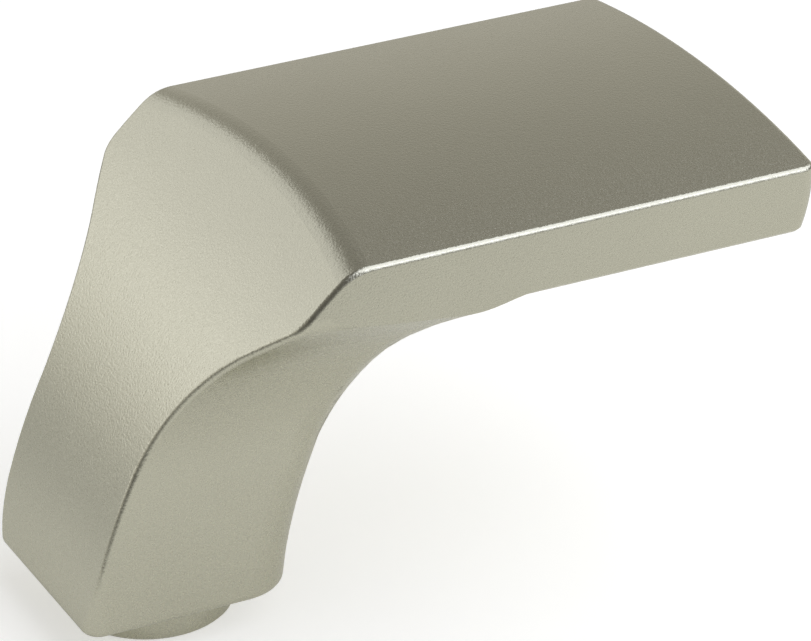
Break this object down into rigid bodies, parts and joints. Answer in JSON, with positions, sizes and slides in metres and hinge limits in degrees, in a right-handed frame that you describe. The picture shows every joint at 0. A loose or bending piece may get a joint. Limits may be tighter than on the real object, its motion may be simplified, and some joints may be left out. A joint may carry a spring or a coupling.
{
  "type": "cabinet knob",
  "caption": "Finger-pull cabinet knob with a crowned blade that reaches out sideways from a small flared foot on a round boss.",
  "frame": {"origin": "centre of the screw hole's mouth, on the boss's face that seats against the door or drawer front", "axes": "+Z away from the door, +X along the blade toward its free tip, Y across the blade"},
  "size_m": [0.0458, 0.028, 0.0283],
  "materials": {
    "satin_nickel": "fine satin nickel plate over a zinc casting"
  },
  "bodies": {
    "root": {"knob_body": "satin_nickel"}
  },
  "joints": []
}
